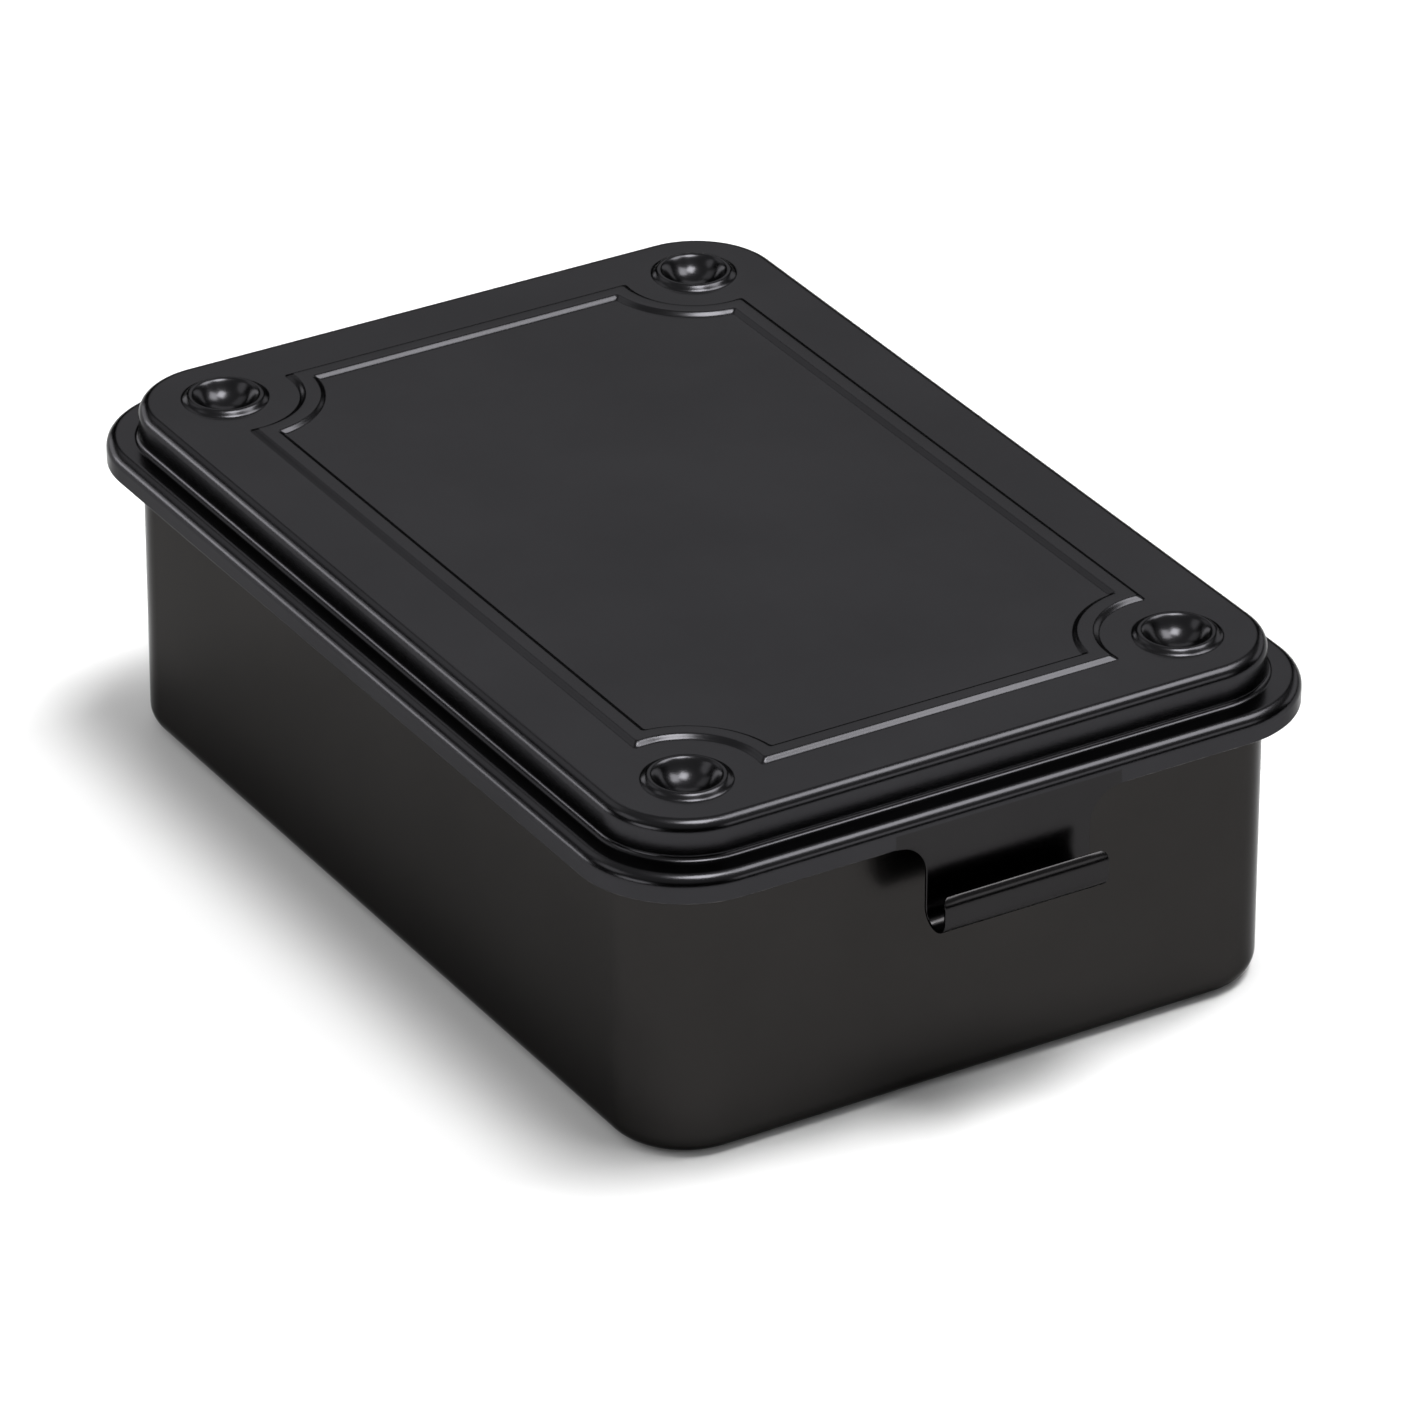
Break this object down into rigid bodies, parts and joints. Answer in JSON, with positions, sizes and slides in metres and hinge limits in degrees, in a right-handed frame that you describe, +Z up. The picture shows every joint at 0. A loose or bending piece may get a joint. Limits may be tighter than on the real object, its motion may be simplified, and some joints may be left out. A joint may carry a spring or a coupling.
{
  "type": "metal lunch box",
  "caption": "Small black-painted sheet-steel box: rounded drawn pan under a lift-off lid with embossed top, stacking dimples and curled finger-pull tongues.",
  "frame": {"origin": "centre of the underside", "axes": "+X along the long side towards the front latch tongue, +Y across the box, +Z up"},
  "size_m": [0.1622, 0.1056, 0.0499],
  "materials": {
    "case_paint": "satin black enamel",
    "lid_paint": "satin black enamel",
    "tongue_paint": "satin black enamel"
  },
  "bodies": {
    "pan": {"case_pan": "case_paint"},
    "lid": {"lid_cover": "lid_paint"},
    "tongue_front": {"latch_tongue_front": "tongue_paint"},
    "tongue_rear": {"latch_tongue_rear": "tongue_paint"}
  },
  "joints": [
    {"name": "lid_lift", "type": "slide", "parent": "pan", "child": "lid", "axis": [0, 0, 1], "range_m": [0, 0.06]},
    {"name": "tongue_front_flex", "type": "hinge", "parent": "lid", "child": "tongue_front", "pos_m": [0.07615, 0, 0.04005], "axis": [0, -1, 0], "range_deg": [0, 6], "stiffness_Nm_per_rad": 0.8},
    {"name": "tongue_rear_flex", "type": "hinge", "parent": "lid", "child": "tongue_rear", "pos_m": [-0.07615, 0, 0.04005], "axis": [0, 1, 0], "range_deg": [0, 6], "stiffness_Nm_per_rad": 0.8}
  ]
}
